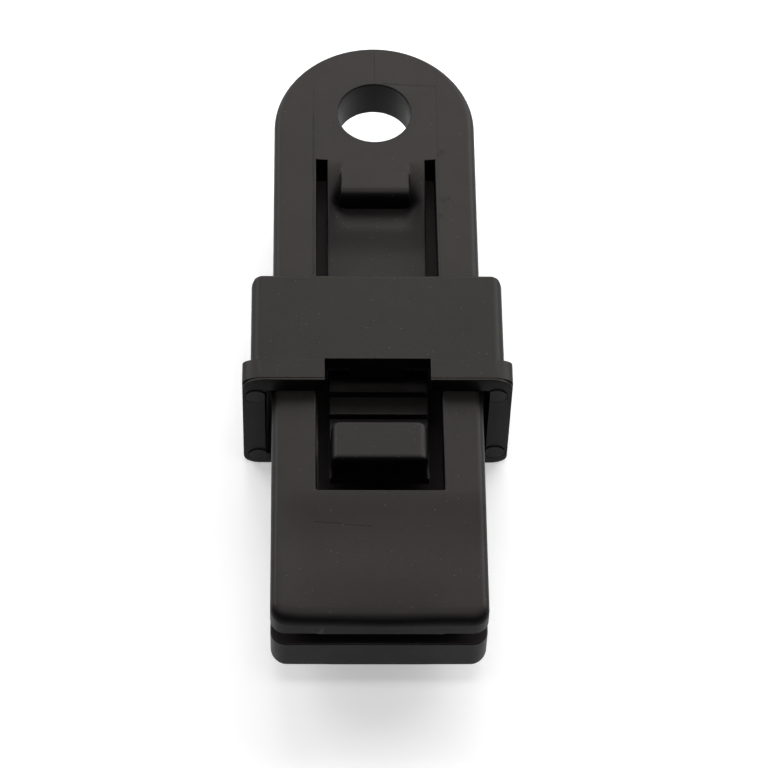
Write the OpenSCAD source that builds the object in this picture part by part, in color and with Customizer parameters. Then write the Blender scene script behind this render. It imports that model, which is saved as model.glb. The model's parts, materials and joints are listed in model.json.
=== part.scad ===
// Tarp clip: a jaw moulding with a sprung locking tongue, and the collar that slides along it.
// Millimetres, +Z up. The axis of the eye's bore is the Z axis and the eye's mid-plane is Z = 0.
// The jaws run toward -Y, and the width lies along X.

/* [Body] */
// Width of the eye and of both jaws
body_w = 29.5; // [28:0.5:33]
// Length from the far edge of the eye to the jaw tips
body_l = 99.3; // [96:0.1:110]
// Thickness of the eye and of the bridge in front of it
eye_t = 6.6; // [6.4:0.1:8]
// Thickness of the upper jaw and its two rails
jaw_t = 4.3; // [3.6:0.1:4.4]
// Diameter of the eye's bore
eye_bore_d = 10.8; // [8:0.1:12]
// Distance from the axis of the bore to the far edge of the eye
eye_reach = 12.45; // [11:0.05:14]
// Rounding of the top edges along the sides and round the eye
edge_r = 1.2; // [0.6:0.1:1.6]
// Rounding of the top edges at the jaw tips
tip_r = 1.6; // [0.8:0.1:1.8]
// Rounding of the jaw corners seen from above
corner_r = 1.5; // [0.8:0.1:2.5]

/* [Window and rear stop] */
// Distance from the axis of the bore to the ends of the slots
slot_from_bore = 8.9; // [8:0.1:10]
// Distance from the window's front edge to the jaw tips
nose_l = 20.4; // [18:0.05:22]
// Width of the slot on each side of the tongue
slot_w = 1.75; // [1.4:0.05:2]
// Width of the rear stop block
stop_w = 10.3; // [8:0.1:12]
// Length of the rear stop block from the slot ends
stop_l = 6.3; // [5:0.1:8]
// Rounding of the stop block's front edge
stop_r = 0.8; // [0.3:0.1:1.2]

/* [Locking tongue] */
// Width of the tongue
tongue_w = 14; // [13.5:0.1:15]
// Thickness of the tongue
tongue_t = 1.5; // [1.2:0.1:1.6]
// Depth of the tongue's face below the top of the body
tongue_drop = 4; // [3.6:0.1:4.1]
// Distance between one ratchet tooth and the next
tooth_pitch = 3.74; // [3.4:0.02:4]
// Height of a ratchet tooth
tooth_h = 1.1; // [0.8:0.1:1.3]
// Number of ratchet teeth
tooth_count = 5; // [4:1:6]
// Distance from the foremost tooth to the back of the button
tooth_to_button = 4.3; // [3.8:0.1:5]
// Width of the release button
button_w = 13.3; // [11:0.1:13.3]
// Length of the release button
button_l = 6; // [5:0.1:7]
// Height of the button above the top of the body
button_rise = 1; // [0.5:0.1:1.5]
// Rounding of the button's edges
button_r = 0.9; // [0.4:0.1:1.4]
// Free space between the button and the front edge of the window
button_gap = 4.45; // [4.2:0.05:6]

/* [Lower jaw] */
// Thickness of the moulding where the lower jaw bends
web_t = 1.6; // [1.2:0.1:1.7]
// Angle through which the lower jaw swings to shut
shut_deg = 1.95; // [1:0.05:2.2]
// Space between the two grip faces when the jaws are shut
shut_gap = 0.1; // [0.1:0.05:0.4]
// Slope of the underside that the collar runs on, with the jaws shut
ramp_deg = 9.9; // [9:0.1:10.5]
// Slope of the arm's inner face, with the jaws shut
arm_deg = 6.6; // [6:0.1:7]
// Distance from the collar's front face to the lowest point of the jaw
belly_ahead = 9.03; // [8.03:0.5:12.03]
// Distance from the jaw tip back to where the underside bends again
chin_l = 13.6; // [11:0.1:15]
// Depth below the grip face at that bend
chin_t = 6.1; // [5.5:0.1:7]
// Thickness of the lower jaw at its tip
tip_t = 5.2; // [4.5:0.1:6]
// Length of the grip face
grip_l = 12; // [11:0.1:13]
// Number of grip ridges
grip_count = 3; // [2:1:3]
// Distance between one grip ridge and the next
grip_pitch = 3; // [2.6:0.1:3.2]
// Height of a grip ridge
grip_h = 0.7; // [0.4:0.1:0.9]
// Distance that the grip ridges stop short of each side
grip_inset = 3; // [2:0.5:6]

/* [Locking collar] */
// Length of the collar
collar_l = 18.1; // [16:0.1:19]
// Thickness of the collar's sides and bottom
collar_wall = 2; // [1.6:0.1:3]
// Thickness of the collar's top
collar_top = 2.35; // [2:0.05:3]
// Rounding of the collar's outer edges
collar_r = 1.5; // [0.6:0.1:1.8]
// Length of the flange at the collar's front
flange_l = 3.5; // [2.5:0.1:4.5]
// Overhang of the flange at each side
flange_side = 1.15; // [0.5:0.05:2]
// Overhang of the flange underneath
flange_under = 0.7; // [0.4:0.1:1.5]
// Rounding of the flange's corners
flange_r = 2.8; // [1.5:0.1:3.5]
// Width of the notch in the collar's front edge
notch_w = 14.8; // [14.4:0.1:16]
// Depth of the notch behind the collar's front face
notch_l = 3.55; // [3:0.05:3.8]
// Width of the pawl under the collar's top
pawl_w = 13.4; // [11:0.1:14]
// Length of the pawl along the collar
pawl_l = 2; // [1.4:0.1:2.3]

/* [Hidden] */
$fn = 96;
plastic = "dimgray";

// Clearances and the one overrun that all cuts and laps use
knuckle_clear = 0.2;  // round a bend's knuckle in its socket
side_clear = 1;       // between the body's sides and the collar
top_clear = 0.35;     // between the body's top and the collar
under_clear = 0.35;   // between the lower jaw and the collar's floor
pawl_clear = 0.15;    // between the tooth crests and the pawl
pawl_play = 0.15;     // between the pawl's back and the tooth that holds it
bridge_clear = 0.4;   // between the tongue's root and the bend's socket
groove_clear = 0.3;   // round a grip ridge in its groove
over = 1;             // overrun
held_tooth = 2;       // the tooth, counted from the foremost as 0, that holds the pawl

// Heights
z_top = eye_t / 2;
z_face = z_top - tongue_drop;            // the tongue's face, at the foot of its teeth
z_crest = z_face + tooth_h;
z_root = z_face - tongue_t / 2;          // axis on which the tongue bends
z_bend = -z_top + web_t / 2;             // axis on which the lower jaw bends

// Places along Y
y_arc = eye_reach - body_w / 2;
y_slot = -slot_from_bore;                // slot ends, and axis on which the lower jaw bends
y_stop = y_slot - stop_l;                // front of the stop block, and axis on which the tongue bends
y_tip = eye_reach - body_l;
y_window = y_tip + nose_l;               // front edge of the window
y_button = y_window + button_gap;        // front of the button and of the tongue
y_tooth = y_button + button_l + tooth_to_button;
y_pawl = y_tooth + held_tooth * tooth_pitch - pawl_play;
y_notch = y_pawl - pawl_l;
y_front = y_notch - notch_l;             // front face of the collar
y_rear = y_front + collar_l;

// Sizes that follow from the ones above
window_w = tongue_w + 2 * slot_w;
window_l = y_slot - y_window;
cavity_w = body_w + 2 * side_clear;
collar_w = cavity_w + 2 * collar_wall;
jaw_l = y_slot - y_tip;                  // from the bend to the jaw tips
u_front = y_slot - y_front;              // from the bend to the collar's front
belly_reach = u_front + belly_ahead;     // from the bend to the lowest point
grip_v = z_top - jaw_t - shut_gap - z_bend;
belly_v = -web_t / 2 / cos(ramp_deg) - belly_reach * tan(ramp_deg);
z_floor = z_bend - web_t / 2 / cos(ramp_deg + shut_deg) - u_front * tan(ramp_deg + shut_deg) - under_clear;
z_roof = z_top + top_clear;
grip_base = 2 * grip_h;

// Draws a side view, given as Y and Z, as a solid of width w across X.
module across_x(w) {
    translate([-w / 2, 0, 0]) rotate([90, 0, 90]) linear_extrude(height = w) children();
}

// Draws a front view, given as X and Z, as a solid from y_from back to y_to.
module along_y(y_from, y_to) {
    translate([0, y_from, 0]) rotate([90, 0, 0]) linear_extrude(height = y_from - y_to) children();
}

// Draws a plan, given as X and Y, as a solid from z_from up to z_to.
module up_z(z_from, z_to) {
    translate([0, 0, z_from]) linear_extrude(height = z_to - z_from) children();
}

// Rectangle from a to b with all four corners rounded.
module round_rect(a, b, r) {
    translate([a[0] + r, a[1]]) square([b[0] - a[0] - 2 * r, b[1] - a[1]]);
    translate([a[0], a[1] + r]) square([b[0] - a[0], b[1] - a[1] - 2 * r]);
    for (x = [a[0] + r, b[0] - r], y = [a[1] + r, b[1] - r]) translate([x, y]) circle(r = r);
}

// Rectangle from a to b with its two upper corners rounded.
module round_top(a, b, r) {
    translate([a[0] + r, a[1]]) square([b[0] - a[0] - 2 * r, b[1] - a[1]]);
    translate(a) square([b[0] - a[0], b[1] - a[1] - r]);
    for (x = [a[0] + r, b[0] - r]) translate([x, b[1] - r]) circle(r = r);
}

// Rectangle from a to b with only the upper corner on its low side rounded.
module round_front(a, b, r) {
    translate([a[0] + r, a[1]]) square([b[0] - a[0] - r, b[1] - a[1]]);
    translate(a) square([2 * r, b[1] - a[1] - r]);
    translate([a[0] + r, b[1] - r]) circle(r = r);
}

// Plan of the body's straight part, with small corners at the jaw tips.
module body_plan() {
    translate([-body_w / 2, y_tip + corner_r]) square([body_w, y_arc + over - y_tip - corner_r]);
    translate([corner_r - body_w / 2, y_tip]) square([body_w - 2 * corner_r, 2 * corner_r]);
    for (s = [-1, 1]) translate([s * (body_w / 2 - corner_r), y_tip + corner_r]) circle(r = corner_r);
}

// Cylinder that lies across the body, for a bend's knuckle or its socket.
module roller(y, z, r, w) {
    across_x(w) translate([y, z]) circle(r = r);
}

// Eye, bridge and upper jaw before anything is cut out of them.
module body_blank() {
    translate([0, y_arc, 0]) rotate_extrude(angle = 180)
        mirror([1, 0]) round_front([-body_w / 2, -z_top], [0, z_top], edge_r);
    intersection() {
        up_z(-z_top - over, z_top + over) body_plan();
        along_y(y_arc, y_tip - over)
            round_top([-body_w / 2, -z_top - over], [body_w / 2, z_top], edge_r);
        across_x(body_w + 2 * over) {
            round_front([y_tip, z_top - jaw_t], [y_arc + over, z_top], tip_r);
            translate([y_slot, -z_top]) square([y_arc + over - y_slot, eye_t]);
        }
    }
}

// Root of the tongue, which slopes down from the bridge beside the stop block.
module tongue_root() {
    difference() {
        union() {
            across_x(tongue_w) polygon([
                [y_slot + over, z_top], [y_slot, z_top], [y_stop, z_face], [y_stop, z_face - tongue_t],
                [y_slot, z_bend + web_t / 2 + bridge_clear],
                [y_slot + over, z_bend + web_t / 2 + bridge_clear]
            ]);
            across_x(stop_w) round_front([y_stop, z_face], [y_slot + over, z_top], stop_r);
        }
        roller(y_stop, z_root, tongue_t / 2 + knuckle_clear, window_w);
    }
}

// Place of a grip ridge, as a distance from the bend toward the jaw tip.
function grip_u(i) = jaw_l - (grip_l - (grip_count - 1) * grip_pitch) / 2 - i * grip_pitch;

module upper_jaw() {
    color(plastic) {
        difference() {
            body_blank();
            cylinder(h = eye_t + 2 * over, d = eye_bore_d, center = true);
            up_z(-z_top - over, z_top + over)
                translate([-window_w / 2, y_window]) square([window_w, window_l]);
            roller(y_slot, z_bend, web_t / 2 + knuckle_clear, body_w + 2 * over);
            across_x(body_w - 2 * (grip_inset - groove_clear)) for (i = [0 : grip_count - 1])
                polygon([
                    [y_slot - grip_u(i) - grip_base / 2 - groove_clear, z_top - jaw_t - groove_clear],
                    [y_slot - grip_u(i) + grip_base / 2 + groove_clear, z_top - jaw_t - groove_clear],
                    [y_slot - grip_u(i), z_top - jaw_t + grip_h + groove_clear]
                ]);
        }
        tongue_root();
    }
}

// Side view of the lower jaw with the jaws shut: distance toward the eye, and height over the bend.
module lower_side() {
    circle(d = web_t);
    polygon([
        [0, web_t / 2], [web_t / 2 * sin(arm_deg) * -1, web_t / 2 / cos(arm_deg) - web_t / 2 * sin(arm_deg) * tan(arm_deg)],
        [-belly_reach, web_t / 2 / cos(arm_deg) - belly_reach * tan(arm_deg)],
        [-(jaw_l - grip_l), grip_v], [-jaw_l, grip_v], [-jaw_l, grip_v - tip_t],
        [-(jaw_l - chin_l), grip_v - chin_t], [-belly_reach, belly_v],
        [0, -web_t / 2]
    ]);
}

// Plan of the lower jaw, with the same corners at its tip as the upper one.
module lower_plan() {
    translate([-body_w / 2, corner_r - jaw_l]) square([body_w, jaw_l - corner_r + web_t]);
    translate([corner_r - body_w / 2, -jaw_l]) square([body_w - 2 * corner_r, 2 * corner_r]);
    for (s = [-1, 1]) translate([s * (body_w / 2 - corner_r), corner_r - jaw_l]) circle(r = corner_r);
}

module lower_jaw() {
    color(plastic) translate([0, y_slot, z_bend]) rotate([shut_deg, 0, 0]) {
        intersection() {
            across_x(body_w) lower_side();
            up_z(belly_v - over, grip_v + over) lower_plan();
        }
        across_x(body_w - 2 * grip_inset) for (i = [0 : grip_count - 1])
            polygon([
                [-grip_u(i) - grip_base / 2, grip_v], [-grip_u(i) - grip_base / 2, grip_v - grip_h],
                [-grip_u(i) + grip_base / 2, grip_v - grip_h], [-grip_u(i) + grip_base / 2, grip_v],
                [-grip_u(i), grip_v + grip_h]
            ]);
    }
}

// Release button: a block with rounded top edges and corners.
module release_button() {
    low = [-button_w / 2, z_root];
    high = [button_w / 2, z_top + button_rise];
    intersection() {
        along_y(y_button + button_l, y_button) round_top(low, high, button_r);
        across_x(button_w) round_top([y_button, z_root], [y_button + button_l, z_top + button_rise], button_r);
        up_z(z_root, z_top + button_rise)
            round_rect([-button_w / 2, y_button], [button_w / 2, y_button + button_l], button_r);
    }
}

module locking_tongue() {
    color(plastic) {
        across_x(tongue_w) {
            translate([y_stop, z_root]) circle(d = tongue_t);
            translate([y_button, z_face - tongue_t]) square([y_stop - y_button, tongue_t]);
            for (i = [0 : tooth_count - 1]) let (y = y_tooth + i * tooth_pitch)
                polygon([[y, z_root], [y, z_crest], [y + tooth_pitch, z_face], [y + tooth_pitch, z_root]]);
        }
        release_button();
    }
}

// Pawl that stands in front of a tooth and slides up the slope of the next.
module pawl() {
    across_x(pawl_w) polygon([
        [y_pawl, z_roof + collar_top / 2], [y_pawl, z_crest + pawl_clear],
        [y_notch, z_crest + pawl_clear + tooth_h * pawl_l / tooth_pitch], [y_notch, z_roof + collar_top / 2]
    ]);
}

module locking_collar() {
    color(plastic) {
        difference() {
            union() {
                intersection() {
                    along_y(y_rear, y_front)
                        round_rect([-collar_w / 2, z_floor - collar_wall], [collar_w / 2, z_roof + collar_top], collar_r);
                    up_z(z_floor - collar_wall, z_roof + collar_top)
                        round_rect([-collar_w / 2, y_front - 2 * collar_r], [collar_w / 2, y_rear], collar_r);
                }
                along_y(y_front + flange_l, y_front)
                    round_rect([-collar_w / 2 - flange_side, z_floor - collar_wall - flange_under],
                        [collar_w / 2 + flange_side, z_roof + collar_top], flange_r);
            }
            along_y(y_rear + over, y_front - over)
                round_rect([-cavity_w / 2, z_floor], [cavity_w / 2, z_roof], edge_r / 2);
            up_z(z_top - jaw_t, z_roof + collar_top + over)
                translate([-notch_w / 2, y_front - over]) square([notch_w, notch_l + over]);
        }
        pawl();
    }
}

upper_jaw();
lower_jaw();
locking_tongue();
locking_collar();
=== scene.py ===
"""Looks of the tarp clip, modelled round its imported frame.

Sizes are named in millimetres and turned to metres by MM. The eye's bore is the Z axis, the jaws run
toward -Y, and +Z points out of the face that carries the button.
"""

import json
import math

import bmesh
import bpy
from mathutils import Matrix, Vector
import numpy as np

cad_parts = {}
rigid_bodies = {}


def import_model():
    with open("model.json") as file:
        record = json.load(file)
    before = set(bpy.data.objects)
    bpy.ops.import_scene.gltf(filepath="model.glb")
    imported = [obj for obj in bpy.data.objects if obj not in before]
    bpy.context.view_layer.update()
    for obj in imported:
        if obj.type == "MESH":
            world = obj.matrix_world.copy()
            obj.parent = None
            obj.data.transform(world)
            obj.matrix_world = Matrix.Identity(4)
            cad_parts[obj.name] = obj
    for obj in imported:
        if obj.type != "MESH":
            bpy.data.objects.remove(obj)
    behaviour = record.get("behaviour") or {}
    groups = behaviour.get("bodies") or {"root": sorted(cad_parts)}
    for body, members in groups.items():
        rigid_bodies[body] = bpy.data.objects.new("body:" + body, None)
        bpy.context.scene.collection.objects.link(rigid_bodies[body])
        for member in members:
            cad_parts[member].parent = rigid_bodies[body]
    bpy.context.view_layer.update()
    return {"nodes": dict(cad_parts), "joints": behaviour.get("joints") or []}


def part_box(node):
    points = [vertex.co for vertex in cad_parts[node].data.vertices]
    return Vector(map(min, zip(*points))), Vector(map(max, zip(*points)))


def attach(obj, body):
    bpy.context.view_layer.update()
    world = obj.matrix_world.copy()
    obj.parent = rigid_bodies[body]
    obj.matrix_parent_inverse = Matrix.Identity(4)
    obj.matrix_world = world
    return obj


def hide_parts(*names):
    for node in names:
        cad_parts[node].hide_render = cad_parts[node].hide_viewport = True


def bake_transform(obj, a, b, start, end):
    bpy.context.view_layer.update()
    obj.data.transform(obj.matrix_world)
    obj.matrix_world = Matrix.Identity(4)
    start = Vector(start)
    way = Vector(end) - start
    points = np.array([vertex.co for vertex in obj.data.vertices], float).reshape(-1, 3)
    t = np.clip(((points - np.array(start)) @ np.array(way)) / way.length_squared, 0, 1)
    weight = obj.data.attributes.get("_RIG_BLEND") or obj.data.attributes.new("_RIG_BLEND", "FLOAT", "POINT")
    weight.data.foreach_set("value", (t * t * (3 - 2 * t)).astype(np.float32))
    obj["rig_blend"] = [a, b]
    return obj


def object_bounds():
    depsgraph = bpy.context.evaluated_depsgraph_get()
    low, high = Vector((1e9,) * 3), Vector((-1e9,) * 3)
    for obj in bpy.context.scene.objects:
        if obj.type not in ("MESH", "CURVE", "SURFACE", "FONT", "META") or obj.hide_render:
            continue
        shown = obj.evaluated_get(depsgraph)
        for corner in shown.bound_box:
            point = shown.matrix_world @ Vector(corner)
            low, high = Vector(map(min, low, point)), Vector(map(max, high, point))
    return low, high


MM = 0.001

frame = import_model()


def reach(node):
    """Lowest and highest corner of a CAD node, in millimetres."""
    return [Vector(corner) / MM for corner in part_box(node)]


# Places read from the frame
BODY_LOW, BODY_HIGH = reach("upper_jaw")
TONGUE_LOW, TONGUE_HIGH = reach("locking_tongue")
COLLAR_LOW, COLLAR_HIGH = reach("locking_collar")
JOINTS = {joint["name"]: joint for joint in frame["joints"]}
JAW_BEND = Vector(JOINTS["lower_jaw_bend"]["pos_m"]) / MM
TONGUE_BEND = Vector(JOINTS["tongue_bend"]["pos_m"]) / MM

# Limits of what counts as near, level or facing
CLOSE = 0.05
TOUCH = 0.02
HAIR = 0.01
FACING = 0.99
UPRIGHT_L = 0.5
OVERRUN = 1
MERGE_L = 0.0005
FINAL_MERGE_L = 0.002
SHARP_ANGLE = math.radians(50)
SMOOTH_ANGLE = math.radians(35)
FLAT_WEIGHT = 80
ROUND_STEPS = 8

# Body
HALF_W = BODY_HIGH.x
TOP = BODY_HIGH.z
BASE = BODY_LOW.z
TIP_Y = BODY_LOW.y
ARC_Y = BODY_HIGH.y - HALF_W
SLOT_Y = JAW_BEND.y
STOP_AHEAD = 0.2
STOP_Y = TONGUE_BEND.y - STOP_AHEAD
JAW_T = 4.3
JAW_UNDER = TOP - JAW_T
BORE_R = 5.4
EYE_SIDES = 192
BORE_SIDES = 160
RIM_STEPS = 3

# Roundings of the body's edges
EDGE_R = 1.2
REAR_EDGE_R = 0.35
TIP_R = 2.1
CORNER_R = 2.15
BELLY_R = 1.6
CHIN_R = 0.4
FOOT_R = 0.6
RIM_R = 0.22
RIM_ANGLES = (0, 30, 60)
ROOT_SIDE = 0.3
ROOT_LOW = 0.2
BASE_REACH = 0.1
UNDER_FACING = 0.8

# Window in the upper jaw
NOSE_L = 20.4
WINDOW_Y = TIP_Y + NOSE_L
WINDOW_HALF = 8.55
WINDOW_REAR_SHIFT = 0.22
WINDOW_FLARE = {-1: 0.05, 1: 0.33}
WINDOW_CORNER_R = 0.4

# Shallow forms of the jaw's top
STEP_Y = WINDOW_Y
STEP_EASE_L = 2.5
STEP_L = 9
STEP_H = 0.55
STEP_FADE = 5
CROWN_L = 8
CROWN_Y = TIP_Y + CROWN_L
CROWN_H = 0.15
SINK_H = 0.45
SINK_X = 0.5
SINK_HALF = 5.5
JAW_ROWS = 16
JAW_ROWS_L = NOSE_L - 0.5
JAW_COLUMNS = (-13, -11.5, -10, -7.5, -5, -2.5, 0, 2.5, 5, 7.5, 10)

# Rear stop block and the root of the tongue
STOP_HALF_TOP = 4.85
STOP_HALF_FOOT = 5.15
STOP_CHAMFER = 0.12
STOP_DRAFT = 0.12
STOP_R = 1.4
STOP_BACK_STEPS = 12
ROOT_UNDER = -1.3
# Slope of the tongue's sides at distances from the slot's end
ROOT_SLOPES = ((0, 0), (7, 0.46), (11.5, 0.28), (15, 0.03), (23, 0))
# Distances ahead of the block at which the root is divided
ROOT_STATIONS = (0.35, 0.6, 0.9, 1.15)
DISH_HALF = 4
DISH_EDGE = 6.9
DISH_DROP = 3.15
DISH_FLAT_DROP = 3.05
DISH_RISE_L = 3.5
# Distances from the middle at which the dish is divided
DISH_COLUMNS = (6.4, 6.0, 5.6, 4.5, 4.0, 2)
WIDEN_BEHIND = 0.3
SEAM_L = 1.4
TONGUE_SEAM_Y = STOP_Y - SEAM_L

# Tongue
TONGUE_HALF = TONGUE_HIGH.x
TONGUE_T = 1.5
FACE = TONGUE_BEND.z + TONGUE_T / 2
SEAM_STRIP_L = 0.4
TONGUE_STEPS = 20
TAPER_Y = -24
# Half width of the tongue's left and right side, at its root and at its free end
TONGUE_SIDES = {-1: (7.0, 6.68), 1: (7.35, 7.14)}
BEND_L = 5

# Release button
BUTTON_HALF = 6.7
BUTTON_FOOT_HALF = 6.98
BUTTON_L = 6.2
BUTTON_Y = TONGUE_LOW.y
BUTTON_TOP = TONGUE_HIGH.z
BUTTON_SUNK = 0.05
BUTTON_SIDE_R = 1.2
BUTTON_FRONT_R = 0.7
BUTTON_BACK_R = 0.4
BUTTON_CORNER_R = 1.1

# Ratchet teeth
TOOTH_H = 1.1
TOOTH_PITCH = 3.74
TOOTH_COUNT = 5
FIRST_TOOTH_L = 9.98
TOOTH_Y = BUTTON_Y + FIRST_TOOTH_L
CREST_L = 0.22
CREST_FLAT_L = 0.03
CREST_FALL = 0.04
TOOTH_DRAFT = 0.1
TOOTH_GAP = 0.02

# Lower jaw, drawn shut and then opened by its rest angle
WEB_T = 1.6
KINK_L = 1.2
REST_OPEN = math.radians(1.95)
ARM_SLOPE = math.radians(6.6)
RAMP_SLOPE = math.radians(9.9)
JAW_L = SLOT_Y - TIP_Y
BELLY_AHEAD = 9.03
BELLY_U = SLOT_Y - COLLAR_LOW.y + BELLY_AHEAD
SHUT_GAP = 0.1
GRIP_V = JAW_UNDER - SHUT_GAP - JAW_BEND.z
GRIP_L = 12
TIP_T = 6.05
CHIN_L = 13.6
CHIN_T = 6.9
BELLY_BEND = 2.2
RAMP_BEND = 3
CHIN_BEND = 3
GRIP_BEND = 2
KINK_BEND = 0.9
BELLY_STEPS = 8
CHIN_STEPS = 6
BEND_STEPS = 4
SPLIT_CLEAR = 0.2
SPLIT_SLOPE = 0.143
SPLIT_L = 8

# Grip ridges inside the tips
GRIP_PITCH = 3
GRIP_H = 0.7
GRIP_HALF = 11.75
GRIP_COUNT = 3
GRIP_FIRST_L = 3
GRIP_GAP = 0.3

# Lines left by the mould insert
LINE_W = 0.12
LINE_H = 0.03
LINE_SUNK = 0.1
LINE_TOP_SHARE = 0.3
WELD_W = 0.26
WELD_H = 0.07
INSERT_LEFT_X = -8.97
INSERT_RIGHT_X = 9.25
INSERT_Y = 5.62
INSERT_FRONT_Y = -29.6
INSERT_BACK_X = 1.2
INSERT_BACK_LEAN = 0.5
WELD_BEHIND = 6
RIM_LINE_X = 0.13
RIM_LINE_GAPS = (0.3, 0.5)
# X and Y of the ends of a fine line across the jaw's top
CROSS_LINE = ((-8.76, -71.38), (-1.02, -72.13))
JAW_LINES_X = (-8.72, 9.17)
JAW_LINE_ENDS = (0.3, 4)

# Collar
WALL_T = 2
ROOF_CLEAR = 0.15
ROOF = TOP + ROOF_CLEAR
CAVITY_CLEAR = 1
CAVITY_HALF = HALF_W + CAVITY_CLEAR
COLLAR_HALF = CAVITY_HALF + WALL_T
TOP_STEP = 0.04
COLLAR_TOP = COLLAR_HIGH.z - TOP_STEP
BASE_STEP = 0.7
COLLAR_BASE = COLLAR_LOW.z + BASE_STEP
CAVITY_FLOOR = COLLAR_BASE + WALL_T
PAD_REACH = 0.18
COLLAR_FRONT = COLLAR_LOW.y - PAD_REACH
COLLAR_REAR = COLLAR_HIGH.y
COLLAR_R = 1.5
COLLAR_REAR_EDGE_R = 0.5
COLLAR_CORNER_R = 1.3
CAVITY_R = 0.6

# Flange and its lip
FLANGE_L = 3.5
FLANGE_R = 2.8
FLANGE_EDGES_R = (0.05, 0.25)
LIP_L = 0.42
LIP_OVERLAP = 0.5
LIP_STEP = 0.07
LIP_R = 0.15

# Ejector marks on the flange
PAD_H = 0.2
PAD_SUNK = 0.5
PAD_RING = 0.13
PAD_LEAN = 3
PAD_R = 1.48
PAD_SIDES = 48
# X and Z of each mark
PAD_PLACES = ((-17.0, 1.9), (-16.7, -12.7), (16.7, 2.2), (17.0, -11.9))

# Notch and pawl in the collar's roof
NOTCH_HALF = 7.4
NOTCH_L = 3.55
PAWL_FRONT_Z = 1.14
PAWL_REAR_Z = 0.55
PAWL_HALF = 3.9
PAWL_L = 2
PAWL_SUNK = 0.5


def deselect():
    if bpy.context.mode != "OBJECT":
        bpy.ops.object.mode_set(mode="OBJECT")
    bpy.ops.object.select_all(action="DESELECT")


def activate(piece):
    deselect()
    piece.select_set(True)
    bpy.context.view_layer.objects.active = piece


def settle(piece):
    """Puts a piece's place and size into its mesh."""
    activate(piece)
    bpy.ops.object.transform_apply(location=True, rotation=True, scale=True)
    return piece


def cuboid(name, low, high):
    deselect()
    low, high = Vector(low) * MM, Vector(high) * MM
    bpy.ops.mesh.primitive_cube_add(size=1, location=(low + high) / 2, scale=high - low)
    piece = bpy.context.object
    piece.name = name
    return settle(piece)


def drum(name, centre, radius, low, high, sides):
    deselect()
    middle = Vector((centre[0], centre[1], (low + high) / 2)) * MM
    bpy.ops.mesh.primitive_cylinder_add(vertices=sides, radius=radius * MM, depth=(high - low) * MM,
                                        location=middle)
    piece = bpy.context.object
    piece.name = name
    return settle(piece)


def pick(piece, kind, test):
    """Leaves the piece in edit mode with only the faces, edges or points that pass the test chosen."""
    if bpy.context.mode != "EDIT_MESH":
        activate(piece)
        bpy.ops.object.mode_set(mode="EDIT")
    bpy.ops.mesh.select_mode(type=kind)
    bpy.ops.mesh.select_all(action="DESELECT")
    mesh = bmesh.from_edit_mesh(piece.data)
    items = {"FACE": mesh.faces, "EDGE": mesh.edges, "VERT": mesh.verts}[kind]
    for item in [item for item in items if test(item)]:
        item.select_set(True)
    bmesh.update_edit_mesh(piece.data)


def middle(item):
    """Middle of a face or an edge, in millimetres."""
    return sum((v.co for v in item.verts), Vector()) / len(item.verts) / MM


def near(a, b):
    return abs(a - b) < TOUCH


def part_way(value, start, end):
    """How far a value has come from start to end, as a share from 0 to 1."""
    return min(max((value - start) / (end - start), 0), 1)


def smoothed(share):
    """The same share with a soft start and end."""
    return share * share * (3 - 2 * share)


def along_x(edge):
    run = edge.verts[1].co - edge.verts[0].co
    return abs(run.x) > FACING * run.length


def push(move):
    bpy.ops.mesh.extrude_region_move(TRANSFORM_OT_translate={"value": Vector(move) * MM})


def bevel_picked(width, segments):
    bpy.ops.mesh.bevel(offset=width * MM, segments=segments, affect="EDGES", clamp_overlap=False)


def slice_picked(place, normal):
    bpy.ops.mesh.bisect(plane_co=Vector(place) * MM, plane_no=normal)


def apply_modifier(piece, modifier):
    activate(piece)
    bpy.ops.object.modifier_apply(modifier=modifier.name)


def combine(piece, tool, operation):
    """Cuts the tool out of the piece, or joins it on, and removes the tool."""
    step = piece.modifiers.new("combine", "BOOLEAN")
    step.operation = operation
    step.object = tool
    step.solver = "EXACT"
    apply_modifier(piece, step)
    bpy.data.objects.remove(tool)


def merge_doubles(piece):
    pick(piece, "VERT", lambda point: True)
    bpy.ops.mesh.remove_doubles(threshold=MERGE_L * MM)
    deselect()


def round_weighted(piece, width, segments, weight):
    """Rounds each edge by a share of the width, which weight(edge) gives."""
    pick(piece, "EDGE", lambda edge: False)
    mesh = bmesh.from_edit_mesh(piece.data)
    layers = mesh.edges.layers.float
    layer = layers.get("bevel_weight_edge") or layers.new("bevel_weight_edge")
    for edge in mesh.edges:
        edge[layer] = weight(edge)
    bmesh.update_edit_mesh(piece.data)
    deselect()
    step = piece.modifiers.new("rounding", "BEVEL")
    step.limit_method = "WEIGHT"
    step.width = width * MM
    step.segments = segments
    step.use_clamp_overlap = False
    apply_modifier(piece, step)
    piece.data.attributes.remove(piece.data.attributes["bevel_weight_edge"])
    merge_doubles(piece)


def finish_surface(piece):
    """Merges doubles, turns the faces outward and gives flat faces flat shading beside the rounded edges."""
    pick(piece, "VERT", lambda point: True)
    bpy.ops.mesh.remove_doubles(threshold=FINAL_MERGE_L * MM)
    bpy.ops.mesh.normals_make_consistent(inside=False)
    activate(piece)
    bpy.ops.object.shade_smooth_by_angle(angle=SMOOTH_ANGLE)
    step = piece.modifiers.new("flats", "WEIGHTED_NORMAL")
    step.keep_sharp = True
    step.weight = FLAT_WEIGHT
    apply_modifier(piece, step)


def arm_place(u, v):
    """Y and Z at rest of a point on the lower jaw: u ahead of the bend and v above it, jaws shut."""
    cos, sin = math.cos(REST_OPEN), math.sin(REST_OPEN)
    return JAW_BEND.y - u * cos - v * sin, JAW_BEND.z - u * sin + v * cos


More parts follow.
